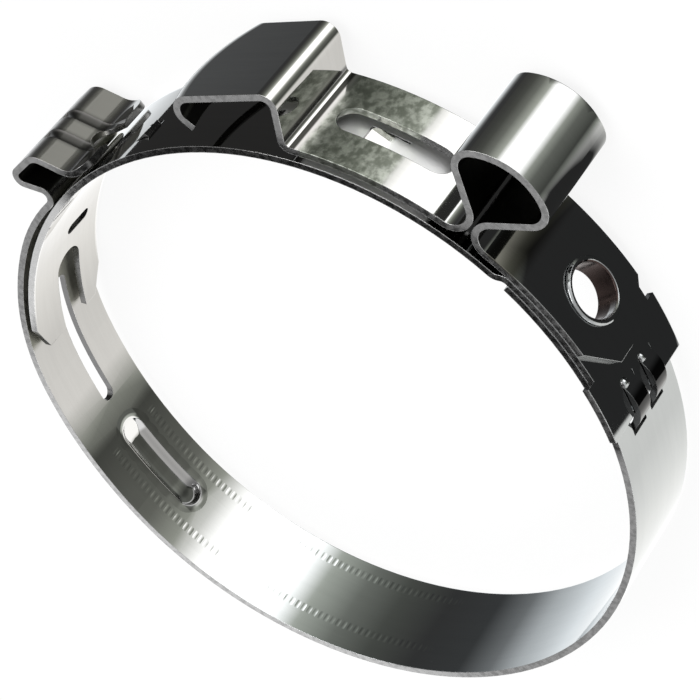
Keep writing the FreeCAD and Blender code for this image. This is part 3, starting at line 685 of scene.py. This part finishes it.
def softbox(name, place, size, power):
    """Square light that faces the clamp; its place and size are in metres, its power in watts."""
    data = bpy.data.lights.new(name, "AREA")
    data.shape = "SQUARE"
    data.size = size
    data.energy = power
    lamp = bpy.data.objects.new(name, data)
    lamp.location = place
    lamp.rotation_euler = (-Vector(place)).to_track_quat("-Z", "Y").to_euler()
    bpy.context.scene.collection.objects.link(lamp)


# Cards that only show in the steel

ON_FLOOR = FLOOR_LEVEL + 0.05
BLACK = 0.03
DEEP_BLACK = 0.015
BRIGHT = 1.6
RIM_CARD_LEVEL = 10.0
FRONT_CARD_LEVEL = 16.0
RIGHT_CARD = (
    (6.5, 35.0, 2), (9, 45, 5), (15, 50, 4), (21, 49, 3), (32, 43, 3), (41.5, 29.7, 1), (23.2, 26.3, 0.4),
    (20, 28.2, 0.4), (13.2, 31.9, 0.4),
)
EAR_CARD = ((-3, 33, 1), (3, 33, 1), (3, 46.5, 1), (-3, 46.5, 1))
FRONT_CARD = ((-45, -36, 8), (45, -36, 8), (45, -80, 8), (-45, -80, 8))
CURTAIN_FOOT = FLOOR_LEVEL - 3.0
CURTAIN_PARTS = 16
SECTOR_PARTS = 24


def card_material(name, light):
    """Faint glow that fades where the mesh's cover is 0."""
    material = bpy.data.materials.new(name)
    material.use_nodes = True
    g = Graph(material.node_tree)
    glow = g.node("Emission")
    g.feed(glow.inputs["Color"], grey(light))
    edge = g.node("MixShader")
    g.feed(edge.inputs[0], g.node("Attribute", attribute_name="cover").outputs["Fac"])
    g.feed(edge.inputs[1], g.node("BsdfTransparent").outputs[0])
    g.feed(edge.inputs[2], glow.outputs[0])
    g.feed(g.node("OutputMaterial").inputs["Surface"], edge.outputs[0])
    return material


def hang(name, points, faces, light, cover):
    """Put up a thin piece that only shows in the steel beside it."""
    mesh = bpy.data.meshes.new(name)
    mesh.from_pydata([tuple(part * MM for part in point) for point in points], [], faces)
    shares = mesh.attributes.new("cover", "FLOAT", "POINT").data
    for i, share in enumerate(cover):
        shares[i].value = share
    mesh.materials.append(card_material(name, light))
    piece = bpy.data.objects.new(name, mesh)
    bpy.context.scene.collection.objects.link(piece)
    piece.visible_camera = False
    piece.visible_diffuse = False
    piece.visible_transmission = False
    piece.visible_shadow = False


def card(name, height, corners, light):
    """Level card. A corner is X, Y and the width of its soft border."""
    middle = Vector((sum(c[0] for c in corners), sum(c[1] for c in corners))) / len(corners)
    core = [Vector((x, y)) for x, y, _ in corners]
    rim = [place + (place - middle).normalized() * soft for place, (_, _, soft) in zip(core, corners)]
    count = len(corners)
    faces = [(i, (i + 1) % count, count + (i + 1) % count, count + i) for i in range(count)]
    points = [(place.x, place.y, height) for place in core + rim]
    hang(name, points, [tuple(range(count)), *faces], light, [1.0] * count + [0.0] * count)


def arc(start, end, parts):
    """Angles in radians, evenly from one angle to another."""
    return [math.radians(start + (end - start) * i / parts) for i in range(parts + 1)]


def curtain(name, radius, start, end, light):
    """Upright card bent round the clamp, from below the floor to the strip's front edge."""
    turns = arc(start, end, CURTAIN_PARTS)
    levels = (CURTAIN_FOOT, STRIP_HALF)
    points = [(radius * math.cos(t), radius * math.sin(t), z) for z in levels for t in turns]
    count = len(turns)
    faces = [(i, i + 1, i + count + 1, i + count) for i in range(CURTAIN_PARTS)]
    hang(name, points, faces, light, [1.0] * len(points))


def sector(inner, outer, start, end, shift, soft):
    """Corners of a part of a ring, moved along Y."""
    turns = arc(start, end, SECTOR_PARTS)
    far = [(outer * math.cos(t), outer * math.sin(t) + shift, soft) for t in turns]
    near = [(inner * math.cos(t), inner * math.sin(t) + shift, soft) for t in reversed(turns)]
    return far + near


RIM_CARD = sector(inner=27.0, outer=36.6, start=46, end=172, shift=-5.15, soft=0.4)

floor_piece()
studio()
softbox("key_light", place=(-0.35, 0.25, 0.6), size=0.5, power=3.0)
softbox("fill_light", place=(0.5, -0.2, 0.5), size=0.5, power=1.5)
card("right_card", ON_FLOOR, RIGHT_CARD, BLACK)
curtain("left_curtain", radius=36.9, start=121, end=163, light=BLACK)
card("ear_card", ON_FLOOR, EAR_CARD, BLACK)
card("rim_card", RIM_CARD_LEVEL, RIM_CARD, DEEP_BLACK)
card("front_card", FRONT_CARD_LEVEL, FRONT_CARD, BRIGHT)


# Camera

CAMERA_PLACE = Vector((-1.290, 224.207, 174.275))
CAMERA_RIGHT = Vector((0.80102, 0.37051, -0.47021))
CAMERA_UP = Vector((-0.59863, 0.50023, -0.62563))
FOCAL_PIXELS = 2841.05
PICTURE_PIXELS = 700
SENSOR_WIDTH = 36.0
NEAREST = 10.0


def photo_camera():
    """Camera that stands where the clamp was photographed from."""
    lens = bpy.data.cameras.new("photo_camera")
    lens.sensor_fit = "HORIZONTAL"
    lens.sensor_width = SENSOR_WIDTH
    lens.lens = FOCAL_PIXELS / PICTURE_PIXELS * SENSOR_WIDTH
    lens.clip_start = NEAREST * MM
    camera = bpy.data.objects.new("photo_camera", lens)
    axes = Matrix((CAMERA_RIGHT, CAMERA_UP, CAMERA_RIGHT.cross(CAMERA_UP))).transposed()
    camera.matrix_world = Matrix.Translation(CAMERA_PLACE * MM) @ axes.to_4x4()
    bpy.context.scene.collection.objects.link(camera)
    bpy.context.scene.camera = camera


photo_camera()
bpy.context.scene.view_settings.view_transform = "Standard"
